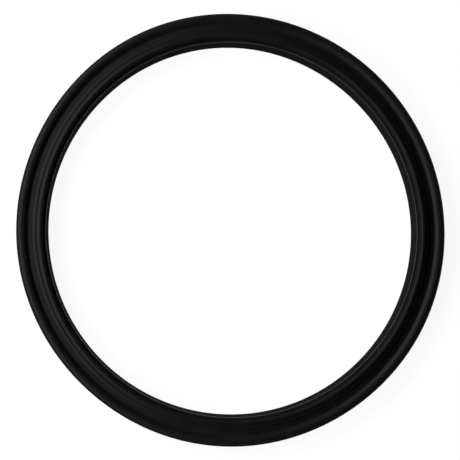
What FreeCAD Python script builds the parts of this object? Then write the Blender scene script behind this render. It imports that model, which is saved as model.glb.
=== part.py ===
# Pump seal ring: one ring moulded from black rubber, lying flat on its underside.
#
# Its section, from the bore outwards, has a flat ledge, a sealing ridge, a small step, a shoulder,
# a web that slopes down to a valley, and a round sealing bead along the outer edge.
# The web is steeper above its knee than below it.
# The bore is a short cylindrical land at the underside and flares from there to the ledge.
# The outer wall below the bead ends in a wide chamfer.
# The section is drawn once, as rounds joined by tangent lines, and revolved about the ring's axis.
#
# Frame: millimetres, +Z up along the ring's axis, origin at the centre of the flat underside.

import FreeCAD
import Part
import Sketcher
import math
import os

NODE = "seal_ring"

# Driving dimensions in millimetres. A run goes outwards from the centre of one round to the centre
# of the next. A rise or a drop goes from one crest, floor or corner to the next.
# The outside diameter is the bore plus all the runs, so a change of any one run moves it.
SIZES = {
    "bore_diameter": 144.4,
    "bore_land_height": 0.8,
    "bore_flare_width": 1.25,
    "ledge_height": 5.0,
    "ledge_chamfer": 0.25,
    "ledge_width": 1.0,
    "ridge_run": 1.35,
    "ridge_rise": 1.4,
    "ridge_radius": 0.95,
    "step_run": 1.35,
    "step_drop": 0.62,
    "shoulder_run": 0.5,
    "shoulder_drop": 0.11,
    "shoulder_radius": 0.55,
    "knee_run": 1.15,
    "knee_drop": 0.63,
    "valley_run": 1.45,
    "valley_drop": 0.5,
    "valley_radius": 0.6,
    "bead_flank_run": 0.4,
    "bead_rise": 0.98,
    "bead_radius": 2.05,
    "base_chamfer": 1.5,
}

# Which way a round of the section bends: a convex one is a crest, and a concave one is a floor.
CONVEX = 1
CONCAVE = -1

# Which way the level changes from one round to the next.
RISE = 1
DROP = -1

SIGN = {1: "+", -1: "-"}

# The rounds of the top face from the ledge outwards: name, bend, radius, runs and change of level.
# The root of the ridge, the step and the knee have no radius: they are plain corners.
TOP_ROUNDS = (
    ("ridge_root", CONCAVE, None, ("ledge_width",), None),
    ("ridge", CONVEX, "ridge_radius", ("ridge_run",), (RISE, "ridge_rise")),
    ("step", CONCAVE, None, ("step_run",), (DROP, "step_drop")),
    ("shoulder", CONVEX, "shoulder_radius", ("shoulder_run",), (DROP, "shoulder_drop")),
    ("knee", CONCAVE, None, ("knee_run",), (DROP, "knee_drop")),
    ("valley", CONCAVE, "valley_radius", ("valley_run",), (DROP, "valley_drop")),
    ("bead", CONVEX, "bead_radius", ("bead_flank_run", "bead_radius"), (RISE, "bead_rise")),
)

# The sketcher's numbers for the points of an arc or a line, and for its own axis and origin.
START, END, CENTRE = range(1, 4)
HORIZONTAL_AXIS = -1
ORIGIN = (HORIZONTAL_AXIS, START)

FULL_TURN = 360.0


def flat(across, up):
    """Point or direction in the plane of the section."""
    return FreeCAD.Vector(across, up, 0)


OUTWARDS = flat(1, 0)
UPWARDS = flat(0, 1)


class Round:
    """Round of the section, or a plain corner where no size holds its radius."""

    def __init__(self, name, bend, size, across, level):
        self.name = name
        self.bend = bend
        self.size = size
        self.radius = SIZES[size] if size else 0.0
        self.centre = flat(across, level - bend * self.radius)

    def touch(self, normal):
        """Point of the round where the surface faces this way."""
        return self.centre + normal * (self.bend * self.radius)

    def normal_to(self, following):
        """Normal of the tangent line from this round to the next one."""
        between = following.centre - self.centre
        along = between / between.Length
        square = flat(-along.y, along.x)
        lean = (self.bend * self.radius - following.bend * following.radius) / between.Length
        return along * lean + square * math.sqrt(1 - lean * lean)


class Outline:
    """Closed outline in a sketch, drawn clockwise, with its dimensions tied to the spreadsheet."""

    def __init__(self, sketch):
        self.sketch = sketch
        self.first = None
        self.last = None

    def constrain(self, *terms):
        """Add a constraint that has no dimension."""
        self.sketch.addConstraint(Sketcher.Constraint(*terms))

    def dimension(self, name, expression, *terms):
        """Add a dimension that the spreadsheet drives."""
        index = self.sketch.addConstraint(Sketcher.Constraint(*terms))
        self.sketch.renameConstraint(index, name)
        self.sketch.setExpression(f"Constraints.{name}", expression)

    def follow(self, edge, entry, leave, kind):
        """Join an edge to the one before it."""
        if self.last is None:
            self.first = (edge, entry)
        else:
            self.constrain(kind, *self.last, edge, entry)
        self.last = (edge, leave)

    def line(self, start, stop, kind="Tangent"):
        """Straight edge between two points."""
        edge = self.sketch.addGeometry(Part.LineSegment(start, stop), False)
        self.follow(edge, START, END, kind)
        return edge

    def arc(self, shape, entering, leaving):
        """Arc of a round, from where the surface faces one way to where it faces another."""
        offset = 0 if shape.bend == CONVEX else math.pi
        enter_angle = math.atan2(entering.y, entering.x) + offset
        leave_angle = math.atan2(leaving.y, leaving.x) + offset
        circle = Part.Circle(shape.centre, FreeCAD.Vector(0, 0, 1), shape.radius)
        if shape.bend == CONVEX:
            angles = (leave_angle, enter_angle)
            ends = (END, START)
        else:
            angles = (enter_angle, leave_angle)
            ends = (START, END)
        edge = self.sketch.addGeometry(Part.ArcOfCircle(circle, *angles), False)
        self.follow(edge, *ends, "Tangent")
        self.dimension(f"{shape.name}_radius", f"Sizes.{shape.size}", "Radius", edge, shape.radius)
        return edge

    def close(self):
        """Join the last edge to the first."""
        self.constrain("Coincident", *self.last, *self.first)


def make_sheet(doc):
    """Spreadsheet that holds every driving dimension under its own alias."""
    sheet = doc.addObject("Spreadsheet::Sheet", "Sizes")
    for row, (alias, value) in enumerate(SIZES.items(), start=1):
        sheet.set(f"A{row}", alias)
        sheet.set(f"B{row}", str(value))
        sheet.setAlias(f"B{row}", alias)
    doc.recompute()


def draw_bore(outline):
    """Bore land, flare and the chamfer that leads to the ledge. Returns the chamfer."""
    bore_radius = SIZES["bore_diameter"] / 2
    chamfer = SIZES["ledge_chamfer"]
    foot = flat(bore_radius, 0)
    land_top = flat(bore_radius, SIZES["bore_land_height"])
    flare_top = flat(bore_radius + SIZES["bore_flare_width"], SIZES["ledge_height"] - chamfer)
    ledge_edge = flare_top + flat(chamfer, chamfer)

    land = outline.line(foot, land_top)
    outline.constrain("Vertical", land)
    outline.constrain("PointOnObject", land, START, HORIZONTAL_AXIS)
    outline.dimension("bore_radius", "Sizes.bore_diameter / 2",
                      "DistanceX", *ORIGIN, land, START, foot.x)
    outline.dimension("bore_land_height", "Sizes.bore_land_height",
                      "DistanceY", *ORIGIN, land, END, land_top.y)
    flare = outline.line(land_top, flare_top, "Coincident")
    outline.dimension("bore_flare_width", "Sizes.bore_flare_width",
                      "DistanceX", flare, START, flare, END, flare_top.x - land_top.x)
    edge = outline.line(flare_top, ledge_edge, "Coincident")
    outline.dimension("ledge_chamfer_width", "Sizes.ledge_chamfer",
                      "DistanceX", edge, START, edge, END, chamfer)
    outline.dimension("ledge_chamfer_height", "Sizes.ledge_chamfer",
                      "DistanceY", edge, START, edge, END, chamfer)
    return edge, ledge_edge


def draw_top(outline, chamfer, ledge_edge):
    """Ledge and the rounds of the top face, joined by tangent lines. Returns the bead."""
    across = ledge_edge.x
    level = SIZES["ledge_height"]
    level_text = "Sizes.ledge_height"
    shapes = []
    places = []
    for name, bend, size, run_sizes, change in TOP_ROUNDS:
        run = sum(SIZES[run_size] for run_size in run_sizes)
        run_text = " + ".join(f"Sizes.{run_size}" for run_size in run_sizes)
        across += run
        if change:
            direction, level_size = change
            level += direction * SIZES[level_size]
            level_text += f" {SIGN[direction]} Sizes.{level_size}"
        radius_text = f" {SIGN[-bend]} Sizes.{size}" if size else ""
        shapes.append(Round(name, bend, size, across, level))
        places.append((run, run_text, level_text + radius_text))

    line = outline.line(ledge_edge, shapes[0].touch(UPWARDS), "Coincident")
    outline.constrain("Horizontal", line)
    entering = UPWARDS
    before = (chamfer, END)
    for shape, following, (run, run_text, height_text) in zip(shapes, shapes[1:] + [None], places):
        leaving = shape.normal_to(following) if following else OUTWARDS
        if shape.size:
            centre = (outline.arc(shape, entering, leaving), CENTRE)
            joint = "Tangent"
        else:
            centre = (line, END)
            joint = "Coincident"
        outline.dimension(f"{shape.name}_run", run_text, "DistanceX", *before, *centre, run)
        outline.dimension(f"{shape.name}_height", height_text,
                          "DistanceY", *ORIGIN, *centre, shape.centre.y)
        if following:
            line = outline.line(shape.touch(leaving), following.touch(leaving), joint)
        entering = leaving
        before = centre
    return shapes[-1]


def draw_base(outline, bead):
    """Outer wall below the bead, its chamfer and the flat underside."""
    chamfer = SIZES["base_chamfer"]
    bead_side = bead.touch(OUTWARDS)
    wall_foot = flat(bead_side.x, chamfer)
    outer_foot = flat(bead_side.x - chamfer, 0)
    wall = outline.line(bead_side, wall_foot)
    outline.constrain("Vertical", wall)
    edge = outline.line(wall_foot, outer_foot, "Coincident")
    outline.dimension("base_chamfer_width", "Sizes.base_chamfer",
                      "DistanceX", edge, END, edge, START, chamfer)
    outline.dimension("base_chamfer_height", "Sizes.base_chamfer",
                      "DistanceY", edge, END, edge, START, chamfer)
    underside = outline.line(outer_foot, flat(SIZES["bore_diameter"] / 2, 0), "Coincident")
    outline.constrain("Horizontal", underside)
    outline.close()


def make_ring(doc):
    """Ring body: the section on the upright plane through the axis, revolved a full turn."""
    body = doc.addObject("PartDesign::Body", "Ring")
    body.Label = NODE
    plane = next(item for item in body.Origin.OriginFeatures if item.Role == "XZ_Plane")
    section = body.newObject("Sketcher::SketchObject", "Section")
    section.AttachmentSupport = [(plane, "")]
    section.MapMode = "FlatFace"
    outline = Outline(section)
    chamfer, ledge_edge = draw_bore(outline)
    bead = draw_top(outline, chamfer, ledge_edge)
    draw_base(outline, bead)
    doc.recompute()

    ring = body.newObject("PartDesign::Revolution", "Revolved")
    ring.Profile = section
    ring.ReferenceAxis = (section, ["V_Axis"])
    ring.Angle = FULL_TURN
    section.Visibility = False
    body.Placement = FreeCAD.Placement()
    doc.recompute()
    return body, section


def check(doc, body, section):
    """Stop if a feature failed, the section is loose or the body isn't one sound solid."""
    for item in doc.Objects:
        if "Invalid" in item.State or "Error" in item.State:
            raise RuntimeError(f"{item.Label} failed: {item.State}")
    if not section.FullyConstrained:
        raise RuntimeError("the section has a dimension missing")
    shape = body.Shape
    if shape.isNull() or not shape.isValid() or len(shape.Solids) != 1:
        raise RuntimeError(f"{body.Label} isn't one sound solid")


def main():
    doc = FreeCAD.newDocument("pump_seal_ring")
    make_sheet(doc)
    body, section = make_ring(doc)
    check(doc, body, section)
    os.makedirs("parts", exist_ok=True)
    body.Shape.exportStep(f"parts/{body.Label}.step")
    box = body.Shape.optimalBoundingBox()
    print(f"{body.Label}: outside {box.XLength:.2f} mm, height {box.ZLength:.2f} mm,"
          f" volume {body.Shape.Volume:.0f} mm3, {len(body.Shape.Faces)} faces")


main()
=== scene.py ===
import math

import bpy
from mathutils import Matrix, Vector


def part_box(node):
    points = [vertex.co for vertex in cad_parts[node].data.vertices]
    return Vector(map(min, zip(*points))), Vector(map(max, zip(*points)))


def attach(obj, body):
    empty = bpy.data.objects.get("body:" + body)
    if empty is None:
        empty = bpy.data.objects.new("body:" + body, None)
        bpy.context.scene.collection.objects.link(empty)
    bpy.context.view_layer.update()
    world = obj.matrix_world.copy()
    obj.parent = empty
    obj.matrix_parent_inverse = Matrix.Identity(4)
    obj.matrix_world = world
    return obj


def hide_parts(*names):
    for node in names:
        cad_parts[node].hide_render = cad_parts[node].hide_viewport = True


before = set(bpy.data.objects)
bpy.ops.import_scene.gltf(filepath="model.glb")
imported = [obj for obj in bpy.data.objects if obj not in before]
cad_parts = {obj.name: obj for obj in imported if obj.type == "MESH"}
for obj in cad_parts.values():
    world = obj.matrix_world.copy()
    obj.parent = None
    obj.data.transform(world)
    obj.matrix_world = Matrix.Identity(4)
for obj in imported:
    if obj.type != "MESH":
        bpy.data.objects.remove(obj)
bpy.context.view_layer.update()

NODE = "seal_ring"
SLOT = "seal_rubber"
MM = 0.001
WHITE = (1.0, 1.0, 1.0, 1.0)

# Section of the ring in millimetres, laid out as in the part's source but fitted closer to the
# photo. A run goes outwards from the centre of one round to the centre of the next, and a rise or
# a drop goes from one level to the next.
WALL = 12.94
LAND_HEIGHT = 0.4
FLARE_WIDTH = 1.42
LEDGE_HEIGHT = 5.0
LEDGE_CHAMFER = 0.25
LIP_WIDTH = 0.16
LIP_RISE = 0.12
ROOT_RUN = 0.74
RIDGE_RUN = 1.49
RIDGE_RISE = 1.39
STEP_RUN = 1.36
STEP_DROP = 0.81
SHOULDER_RUN = 0.46
SHOULDER_DROP = 0.05
KNEE_RUN = 1.13
KNEE_DROP = 0.64
VALLEY_RUN = 1.6
VALLEY_DROP = 0.49
BEAD_RISE = 0.97

# Radii of the section's rounds in millimetres.
BORE_EDGE_RADIUS = 0.12
FLARE_RADIUS = 1.0
CHAMFER_RADIUS = 0.15
LIP_RADIUS = 0.04
ROOT_RADIUS = 0.2
RIDGE_RADIUS = 1.15
STEP_RADIUS = 0.15
SHOULDER_RADIUS = 0.51
KNEE_RADIUS = 0.6
VALLEY_RADIUS = 0.77
BEAD_RADIUS = 2.03
OUTER_EDGE_RADIUS = 2.8

# Which way a round bends: a convex one is a crest or a corner, and a concave one is a floor.
CONVEX = 1
CONCAVE = -1

# The ring lies a little out of round. Each swing has a name, the number of its crests, how far it
# moves the radius in millimetres and the direction of its first crest in degrees.
SWINGS = (
    ("Oval", 2, 0.275, 55.0),
    ("Triangle", 3, 0.155, -21.5),
    ("Square", 4, 0.09, 3.0),
)

# This swing is full at the outer edge and fades to nothing at the bore.
EDGE_SWING = ("Edge", 5, 0.085, 46.4)
ALL_SWINGS = SWINGS + (EDGE_SWING,)

# The bore lies off the centre of the outer edge: how far in millimetres, and which way in degrees.
BORE_OFFSET = 0.17
BORE_OFFSET_TURN = -76.0

# Attribute of the ring's mesh: each point's radius in metres, before the ring goes out of round.
TURNED_RADIUS = "turned_radius"

# How finely the ring and the section's arcs are divided, and the distance in millimetres below
# which two points are one.
SEGMENTS_AROUND = 720
ARC_STEP = math.radians(9.0)
MERGE_DISTANCE = 0.002

# Noise patterns of the rubber. The bloom and the grain are scaled per metre, and the turned lines
# per millimetre of radius. The streaks run along the ring, with a length and a width in millimetres.
BLOOM_SCALE = 80.0
GRAIN_SCALE = 2400.0
LINE_SCALE = 2.6
STREAK_LENGTH = 8.8
STREAK_WIDTH = 0.77

# How much each pattern adds to the rubber's tone, and the tone's red, green and blue.
BLOOM_TONE = 0.006
GRAIN_TONE = 0.003
STREAK_TONE = 0.004
TONE_TINT = (0.98, 1.09, 0.99)

# Roughness of the smoothest rubber, and how much each pattern adds to it.
SMOOTHEST = 0.22
BLOOM_ROUGHNESS = 0.2
STREAK_ROUGHNESS = 0.28
GRAIN_ROUGHNESS = 0.08

# Depth of the grain and the turned lines in millimetres, and how many times as deep the streaks are.
RELIEF = 0.03
STREAK_RELIEF = 2.0

# Strength and colour of the rubber's gloss, and the share of it that the steep flanks and the
# bore's wall lose. The loss sets in between two slopes, each given as 1 less the upward part of
# the surface's direction.
GLOSS = 0.1
GLOSS_TINT = (0.93, 0.975, 0.93, 1.0)
FLANK_MATT = 0.88
GENTLE = 0.2
STEEP = 0.45

# The lip's pale line, partly a real scuff and partly a painted highlight along its edge: how much
# paler it is than the rubber, how far it reaches in widths of the lip, how its strength follows the
# bloom, how much it swings round the ring as painted light that is stronger on one side, and the
# direction in degrees where that painted light is faintest.
LIP_PALENESS = 0.06
SCUFF_AND_HIGHLIGHT_REACH = 1.5
SCUFF_AND_HIGHLIGHT_LEAST = 0.4
SCUFF_AND_HIGHLIGHT_BLOOM = 1.2
LIP_PAINTED_LIGHT_SWING = 0.35
LIP_FAINTEST_TURN = 40.0

# Specks of dust: direction in degrees, distance in from the outer edge and reach in millimetres.
SPECKS = (
    (-38.7, 10.45, 0.28),
    (-86.0, 9.7, 0.22),
    (-171.6, 2.8, 0.24),
)
SPECK_PALENESS = 0.07

# Red, green and blue of the lip's scuff and painted highlight, and of the dust.
PALE_TINT = (1.0, 1.0, 0.97)

# The floor: half its side in metres, how far it lies below the ring in millimetres, its grey and
# its roughness under the lamps, and how white it shows.
FLOOR_HALF = 3.0
FLOOR_DROP = 0.02
FLOOR_GREY = 0.12
FLOOR_ROUGHNESS = 0.9
FLOOR_WHITENESS = 0.92

# Lamps: name, turn round the ring from +X and height in degrees, and power in watts.
LAMPS = (
    ("upper_lamp", 136.0, 27.0, 16.5),
    ("middle_lamp", 176.0, 27.5, 17.5),
    ("lower_lamp", 220.0, 27.0, 13.5),
)

# Distance of the lamps from the ring and the sides of each one, in metres.
LAMP_DISTANCE = 1.6
LAMP_WIDTH = 0.9
LAMP_DEPTH = 0.5

# Strength of the even light from all round.
FILL_STRENGTH = 0.03

# The camera looks down at the ring, tilted off its axis, from about seventeen times its width. Its
# distance is in metres, and its lens and sensor are in millimetres.
CAMERA_TILT = math.radians(11.1)
CAMERA_TURN = math.radians(-148.0)
CAMERA_DISTANCE = 2.9
CAMERA_LENS = 580.87
CAMERA_SENSOR = 36.0
CAMERA_AIM = Vector((-0.02, 0.26, 0.0)) * MM


class Round:
    """Round of the section, with its centre and radius in millimetres."""

    def __init__(self, across, level, radius, bend):
        self.radius = radius
        self.bend = bend
        self.centre = Vector((across, level - bend * radius))

    def normal_to(self, following):
        """Outward normal of the tangent line from this round to the next one."""
        between = following.centre - self.centre
        along = between.normalized()
        square = Vector((-along.y, along.x))
        lean = (self.bend * self.radius - following.bend * following.radius) / between.length
        return along * lean + square * math.sqrt(1 - lean * lean)

    def points(self, entering, leaving):
        """Points of the arc over which the normal turns from one direction to another."""
        first = math.atan2(entering.y, entering.x)
        turn = (math.atan2(leaving.y, leaving.x) - first + math.pi) % (2 * math.pi) - math.pi
        count = max(2, math.ceil(abs(turn) / ARC_STEP))
        angles = (first + turn * k / count for k in range(count + 1))
        arm = self.bend * self.radius
        return [self.centre + arm * Vector((math.cos(angle), math.sin(angle))) for angle in angles]


def lip_radius(outer_radius):
    """Radius at which the ledge begins, with the lip along it."""
    return outer_radius - WALL + FLARE_WIDTH + LEDGE_CHAMFER


def section_rounds(outer_radius):
    """Rounds of the closed section in order: up the bore, out over the top and back below."""
    bore = outer_radius - WALL
    ledge = lip_radius(outer_radius)
    root = ledge + LIP_WIDTH + ROOT_RUN
    ridge = root + RIDGE_RUN
    step = ridge + STEP_RUN
    shoulder = step + SHOULDER_RUN
    knee = shoulder + KNEE_RUN
    valley = knee + VALLEY_RUN
    ridge_level = LEDGE_HEIGHT + RIDGE_RISE
    step_level = ridge_level - STEP_DROP
    shoulder_level = step_level - SHOULDER_DROP
    knee_level = shoulder_level - KNEE_DROP
    valley_level = knee_level - VALLEY_DROP
    bead_level = valley_level + BEAD_RISE
    return [
        Round(bore + BORE_EDGE_RADIUS, 2 * BORE_EDGE_RADIUS, BORE_EDGE_RADIUS, CONVEX),
        Round(bore + FLARE_RADIUS, LAND_HEIGHT + FLARE_RADIUS, FLARE_RADIUS, CONVEX),
        Round(bore + FLARE_WIDTH + CHAMFER_RADIUS, LEDGE_HEIGHT - LEDGE_CHAMFER + CHAMFER_RADIUS,
              CHAMFER_RADIUS, CONVEX),
        Round(ledge, LEDGE_HEIGHT + LIP_RISE, LIP_RADIUS, CONVEX),
        Round(ledge + LIP_WIDTH, LEDGE_HEIGHT, LIP_RADIUS, CONCAVE),
        Round(root, LEDGE_HEIGHT, ROOT_RADIUS, CONCAVE),
        Round(ridge, ridge_level, RIDGE_RADIUS, CONVEX),
        Round(step, step_level, STEP_RADIUS, CONCAVE),
        Round(shoulder, shoulder_level, SHOULDER_RADIUS, CONVEX),
        Round(knee, knee_level, KNEE_RADIUS, CONCAVE),
        Round(valley, valley_level, VALLEY_RADIUS, CONCAVE),
        Round(outer_radius - BEAD_RADIUS, bead_level, BEAD_RADIUS, CONVEX),
        Round(outer_radius - OUTER_EDGE_RADIUS, 2 * OUTER_EDGE_RADIUS, OUTER_EDGE_RADIUS, CONVEX),
    ]


def section_points(rounds):
    """Points of the closed outline, with no two in the same place."""
    following = rounds[1:] + rounds[:1]
    leaving = [shape.normal_to(after) for shape, after in zip(rounds, following)]
    entering = leaving[-1:] + leaving[:-1]
    return [point for shape, enter, leave in zip(rounds, entering, leaving)
            for point in shape.points(enter, leave)]


class Value:
    """Socket of a node. Where it gives a number, Python's operators on it add Math nodes."""

    def __init__(self, graph, socket):
        self.graph = graph
        self.socket = socket

    def __add__(self, other):
        return self.graph.math("ADD", self, other)

    __radd__ = __add__

    def __sub__(self, other):
        return self.graph.math("SUBTRACT", self, other)

    def __rsub__(self, other):
        return self.graph.math("SUBTRACT", other, self)

    def __mul__(self, other):
        return self.graph.math("MULTIPLY", self, other)

    __rmul__ = __mul__

    def __truediv__(self, other):
        return self.graph.math("DIVIDE", self, other)

    def __mod__(self, other):
        return self.graph.math("FLOORED_MODULO", self, other)


class Graph:
    """Node tree of a material or of a Geometry Nodes modifier."""

    def __init__(self, tree):
        self.tree = tree

    def node(self, kind, settings=(), **sockets):
        """Add a node: its settings first, and then the values or links of its sockets."""
        node = self.tree.nodes.new(kind)
        for name, value in dict(settings).items():
            setattr(node, name, value)
        for name, value in sockets.items():
            self.feed(node.inputs[self.find(node.inputs, name)], value)
        return node

    def find(self, sockets, name):
        """Index of a socket, by its name with underscores for spaces or by _0, _1 and so on."""
        if name[1:].isdigit():
            return int(name[1:])
        return next(k for k, socket in enumerate(sockets)
                    if socket.enabled and socket.name.replace(" ", "_") == name)

    def feed(self, socket, value):
        """Link a value to a socket, or set the socket to it."""
        if isinstance(value, Value):
            self.tree.links.new(value.socket, socket)
        else:
            socket.default_value = value

    def out(self, node, name):
        """Output of a node by its name, among those that are switched on."""
        return Value(self, next(socket for socket in node.outputs
                                if socket.enabled and socket.name == name))

    def math(self, operation, *values):
        """Math node on one or two values."""
        sockets = {f"_{k}": value for k, value in enumerate(values)}
        return self.out(self.node("ShaderNodeMath", {"operation": operation}, **sockets), "Value")

    def noise(self, settings=(), **sockets):
        """Noise pattern between 0 and 1."""
        return self.out(self.node("ShaderNodeTexNoise", settings, **sockets), "Fac")

    def fade(self, distance, near, far):
        """Mask that is 1 up to the near distance and falls smoothly to 0 at the far one."""
        node = self.node("ShaderNodeMapRange", {"interpolation_type": "SMOOTHSTEP"}, Value=distance,
                         From_Min=near, From_Max=far, To_Min=1.0, To_Max=0.0)
        return self.out(node, "Result")


def add_sockets(tree):
    """Inputs and output of the sweep."""
    kinds = {"Section": "Geometry", "Section points": "Int", "Segments around": "Int"}
    for name, _, _, _ in ALL_SWINGS:
        kinds[f"{name} swing"] = "Float"
        kinds[f"{name} turn"] = "Float"
    for name in ("Outer radius", "Wall", "Bore offset", "Bore offset turn"):
        kinds[name] = "Float"
    kinds["Finish"] = "Material"
    for name, kind in kinds.items():
        tree.interface.new_socket(name, in_out="INPUT", socket_type=f"NodeSocket{kind}")
    tree.interface.new_socket("Ring", in_out="OUTPUT", socket_type="NodeSocketGeometry")


def sweep_tree():
    """Geometry Nodes that sweep the section round the ring, out of round and off centre."""
    tree = bpy.data.node_groups.new("section_sweep", "GeometryNodeTree")
    add_sockets(tree)
    graph = Graph(tree)
    given = graph.node("NodeGroupInput")

    # Each row of the grid is one section, closed by its first point again.
    count = graph.out(given, "Section points")
    segments = graph.out(given, "Segments around")
    rows = count + 1
    grid = graph.node("GeometryNodeMeshGrid", Vertices_X=segments + 1, Vertices_Y=rows)
    index = graph.out(graph.node("GeometryNodeInputIndex"), "Index")
    turn = graph.math("FLOOR", (index + 0.5) / rows) * (2 * math.pi) / segments
    place = graph.node("GeometryNodeSampleIndex", {"data_type": "FLOAT_VECTOR"},
                       Geometry=graph.out(given, "Section"),
                       Value=graph.out(graph.node("GeometryNodeInputPosition"), "Position"),
                       Index=(index % rows) % count)
    point = graph.node("ShaderNodeSeparateXYZ", Vector=graph.out(place, "Value"))
    turned = graph.out(point, "X")

    def swing(name, crests):
        """How far a swing moves the radius at this turn."""
        phase = (turn - graph.out(given, f"{name} turn")) * crests
        return graph.out(given, f"{name} swing") * graph.math("COSINE", phase)

    radius = turned
    for name, crests, _, _ in SWINGS:
        radius = radius + swing(name, crests)
    inwards = (graph.out(given, "Outer radius") - turned) / graph.out(given, "Wall")
    edge_name, edge_crests, _, _ = EDGE_SWING
    radius = radius + swing(edge_name, edge_crests) * (1 - inwards)
    phase = turn - graph.out(given, "Bore offset turn")
    radius = radius + graph.out(given, "Bore offset") * inwards * graph.math("COSINE", phase)
    target = graph.node("ShaderNodeCombineXYZ", X=radius * graph.math("COSINE", turn),
                        Y=radius * graph.math("SINE", turn), Z=graph.out(point, "Z"))

    swept = graph.node("GeometryNodeSetPosition", Geometry=graph.out(grid, "Mesh"),
                       Position=graph.out(target, "Vector"))
    marked = graph.node("GeometryNodeStoreNamedAttribute", {"data_type": "FLOAT", "domain": "POINT"},
                        Geometry=graph.out(swept, "Geometry"), Name=TURNED_RADIUS, Value=turned)
    closed = graph.node("GeometryNodeMergeByDistance", Geometry=graph.out(marked, "Geometry"),
                        Distance=MERGE_DISTANCE * MM)
    outward = graph.node("GeometryNodeFlipFaces", Mesh=graph.out(closed, "Geometry"))
    smooth = graph.node("GeometryNodeSetShadeSmooth", Geometry=graph.out(outward, "Mesh"))
    single = graph.node("GeometryNodeRealizeInstances", Geometry=graph.out(smooth, "Geometry"))
    finished = graph.node("GeometryNodeSetMaterial", Geometry=graph.out(single, "Geometry"),
                          Material=graph.out(given, "Finish"))
    graph.node("NodeGroupOutput", Ring=graph.out(finished, "Geometry"))
    return tree


def evaluated(name, base, tree, values):
    """Plain mesh object made by a Geometry Nodes tree from a base mesh."""
    source = bpy.data.objects.new(name, base)
    bpy.context.scene.collection.objects.link(source)
    modifier = source.modifiers.new("shape", "NODES")
    modifier.node_group = tree
    for item in tree.interface.items_tree:
        if item.name in values:
            modifier[item.identifier] = values[item.name]
    state = bpy.context.evaluated_depsgraph_get()
    mesh = bpy.data.meshes.new_from_object(source.evaluated_get(state))
    source.modifiers.remove(modifier)
    source.data = mesh
    return source


def widest_swing():
    """Most that the swings together add to the outer edge's radius."""
    angles = (2 * math.pi * k / SEGMENTS_AROUND for k in range(SEGMENTS_AROUND))
    return max(sum(amount * math.cos(crests * (angle - math.radians(turn)))
                   for _, crests, amount, turn in ALL_SWINGS) for angle in angles)


def make_ring():
    """The ring: its section swept round, as wide as the CAD box lets it be."""
    low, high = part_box(NODE)
    outer_radius = (high.x - low.x) / 2 / MM - widest_swing()
    points = section_points(section_rounds(outer_radius))
    section = bpy.data.meshes.new("section")
    section.from_pydata([(point.x * MM, 0.0, point.y * MM) for point in points], [], [])
    values = {
        "Section points": len(points),
        "Segments around": SEGMENTS_AROUND,
        "Outer radius": outer_radius * MM,
        "Wall": WALL * MM,
        "Bore offset": BORE_OFFSET * MM,
        "Bore offset turn": math.radians(BORE_OFFSET_TURN),
        "Finish": rubber(outer_radius),
    }
    for name, _, amount, turn in ALL_SWINGS:
        values[f"{name} swing"] = amount * MM
        values[f"{name} turn"] = math.radians(turn)
    ring = evaluated("moulded_ring", section, sweep_tree(), values)
    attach(ring, "root")
    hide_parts(NODE)


def empty_material(name):
    """New material with an empty node tree, and its graph."""
    material = bpy.data.materials.new(name)
    material.use_nodes = True
    material.node_tree.nodes.clear()
    return material, Graph(material.node_tree)


def paleness(graph, turn, radius, outer_radius, bloom):
    """How much paler the surface is: along the lip, partly scuff and partly painted highlight, and
    at dust specks.
    """
    off_lip = graph.math("ABSOLUTE", radius - lip_radius(outer_radius))
    # Painted light: the lip is made paler on one side of the ring than on the other, as light falls
    # on its edge.
    painted_light_side = 1 - LIP_PAINTED_LIGHT_SWING * graph.math("COSINE", turn - math.radians(LIP_FAINTEST_TURN))
    patchy = SCUFF_AND_HIGHLIGHT_LEAST + SCUFF_AND_HIGHLIGHT_BLOOM * bloom
    # The lip's pale line is partly a real scuff and partly a painted highlight on the lip's edge.
    scuff_and_highlight = graph.fade(off_lip, LIP_WIDTH / 2, SCUFF_AND_HIGHLIGHT_REACH * LIP_WIDTH) * painted_light_side * patchy
    dust = 0.0
    for direction, inset, reach in SPECKS:
        arm = outer_radius - inset
        along = (turn - math.radians(direction)) * arm
        across = radius - arm
        distance = graph.math("SQRT", along * along + across * across)
        dust = dust + graph.fade(distance, reach / 2, reach)
    return LIP_PALENESS * scuff_and_highlight + SPECK_PALENESS * dust


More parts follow.
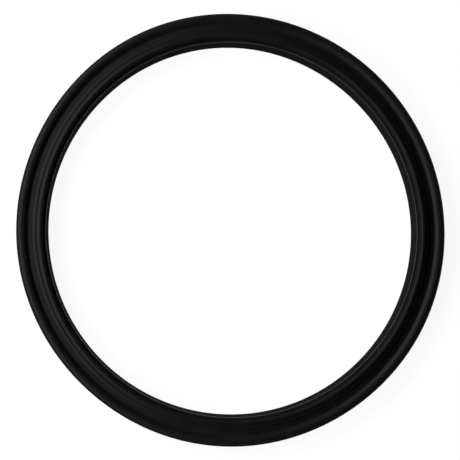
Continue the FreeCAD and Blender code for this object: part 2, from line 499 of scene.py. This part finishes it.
def rubber(outer_radius):
    """Black rubber with a faint bloom, grain, turned lines, streaks, dust, and a pale lip that is
    partly scuff and partly painted highlight.
    """
    finish, graph = empty_material(SLOT)
    coordinates = graph.node("ShaderNodeTexCoord")
    place = graph.out(coordinates, "Object")
    point = graph.node("ShaderNodeSeparateXYZ", Vector=place)
    turn = graph.math("ARCTAN2", graph.out(point, "Y"), graph.out(point, "X"))
    turned = graph.node("ShaderNodeAttribute", {"attribute_name": TURNED_RADIUS})
    radius = graph.out(turned, "Fac") / MM

    # The streaks are noise on a cylinder, so that they close where the turn jumps.
    around = outer_radius / STREAK_LENGTH
    wound = graph.node("ShaderNodeCombineXYZ", X=around * graph.math("COSINE", turn),
                       Y=around * graph.math("SINE", turn), Z=radius / STREAK_WIDTH)
    bloom = graph.noise(Vector=place, Scale=BLOOM_SCALE, Detail=5.0, Roughness=0.75)
    grain = graph.noise(Vector=place, Scale=GRAIN_SCALE, Detail=3.0)
    lines = graph.noise({"noise_dimensions": "1D"}, W=radius, Scale=LINE_SCALE, Detail=3.0,
                        Roughness=0.6)
    streaks = graph.noise(Vector=graph.out(wound, "Vector"), Scale=1.0, Detail=3.0, Roughness=0.6)

    tone = BLOOM_TONE * bloom + GRAIN_TONE * grain + STREAK_TONE * streaks
    # The paleness is a painted highlight and a scuff along the lip, plus specks of dust.
    pale = paleness(graph, turn, radius, outer_radius, bloom)
    channels = {channel: black * tone + white * pale
                for channel, black, white in zip(("Red", "Green", "Blue"), TONE_TINT, PALE_TINT)}
    colour = graph.node("ShaderNodeCombineColor", **channels)
    roughness = (SMOOTHEST + BLOOM_ROUGHNESS * bloom + STREAK_ROUGHNESS * streaks
                 + GRAIN_ROUGHNESS * grain)
    relief = graph.node("ShaderNodeBump", Strength=1.0, Distance=RELIEF * MM,
                        Height=lines + grain + STREAK_RELIEF * streaks)
    glossy, matt = (
        graph.node("ShaderNodeBsdfPrincipled", Base_Color=graph.out(colour, "Color"),
                   Roughness=roughness, Specular_IOR_Level=gloss, Specular_Tint=GLOSS_TINT,
                   Normal=graph.out(relief, "Normal"))
        for gloss in (GLOSS, 0.0))

    facing = graph.node("ShaderNodeSeparateXYZ", Vector=graph.out(coordinates, "Normal"))
    dull = FLANK_MATT * (1 - graph.fade(1 - graph.out(facing, "Z"), GENTLE, STEEP))
    surface = graph.node("ShaderNodeMixShader", _0=dull, _1=graph.out(glossy, "BSDF"),
                         _2=graph.out(matt, "BSDF"))
    graph.node("ShaderNodeOutputMaterial", Surface=graph.out(surface, "Shader"))
    return finish


def make_floor():
    """Floor that shows as white to the camera and keeps the ring's shadow."""
    finish, graph = empty_material("floor_white")
    path = graph.node("ShaderNodeLightPath")
    seen = (graph.out(path, "Is Camera Ray") + graph.out(path, "Is Glossy Ray")
            + graph.out(path, "Is Transmission Ray"))
    surface = graph.node("ShaderNodeBsdfPrincipled", Base_Color=(FLOOR_GREY,) * 3 + (1.0,),
                         Roughness=FLOOR_ROUGHNESS, Specular_IOR_Level=0.0, Emission_Color=WHITE,
                         Emission_Strength=graph.math("MINIMUM", seen, 1.0) * FLOOR_WHITENESS)
    graph.node("ShaderNodeOutputMaterial", Surface=graph.out(surface, "BSDF"))
    mesh = bpy.data.meshes.new("floor")
    half = FLOOR_HALF
    corners = [(-half, -half, 0.0), (half, -half, 0.0), (half, half, 0.0), (-half, half, 0.0)]
    mesh.from_pydata(corners, [], [(0, 1, 2, 3)])
    mesh.materials.append(finish)
    floor = bpy.data.objects.new("floor", mesh)
    floor.location.z = -FLOOR_DROP * MM
    bpy.context.scene.collection.objects.link(floor)


def direction_to(turn, height):
    """Direction away from the ring, by its turn from +X and its height in radians."""
    flat = math.cos(height)
    return Vector((flat * math.cos(turn), flat * math.sin(turn), math.sin(height)))


def make_lamp(name, turn, height, power):
    """Soft lamp that faces the ring from a direction, given in degrees."""
    direction = direction_to(math.radians(turn), math.radians(height))
    data = bpy.data.lights.new(name, "AREA")
    data.shape = "RECTANGLE"
    data.size = LAMP_WIDTH
    data.size_y = LAMP_DEPTH
    data.energy = power
    lamp = bpy.data.objects.new(name, data)
    lamp.location = direction * LAMP_DISTANCE
    lamp.rotation_euler = direction.to_track_quat("Z", "Y").to_euler()
    bpy.context.scene.collection.objects.link(lamp)


def make_lights():
    """Three soft lamps side by side on the left, and a weak even fill."""
    for name, turn, height, power in LAMPS:
        make_lamp(name, turn, height, power)
    world = bpy.data.worlds.new("fill_light")
    world.use_nodes = True
    background = world.node_tree.nodes["Background"]
    background.inputs["Color"].default_value = WHITE
    background.inputs["Strength"].default_value = FILL_STRENGTH
    bpy.context.scene.world = world


def make_camera():
    """Camera at the photo's viewing angle, with the top of the picture towards +Y."""
    direction = direction_to(CAMERA_TURN, math.pi / 2 - CAMERA_TILT)
    top = Vector((0.0, 1.0, 0.0))
    up = (top - top.dot(direction) * direction).normalized()
    right = up.cross(direction)
    data = bpy.data.cameras.new("camera")
    data.sensor_width = CAMERA_SENSOR
    data.lens = CAMERA_LENS
    camera = bpy.data.objects.new("camera", data)
    axes = Matrix((right, up, direction)).transposed().to_4x4()
    camera.matrix_world = Matrix.Translation(CAMERA_AIM + direction * CAMERA_DISTANCE) @ axes
    bpy.context.scene.collection.objects.link(camera)
    bpy.context.scene.camera = camera


make_ring()
make_floor()
make_lights()
make_camera()
bpy.context.scene.view_settings.view_transform = "Standard"
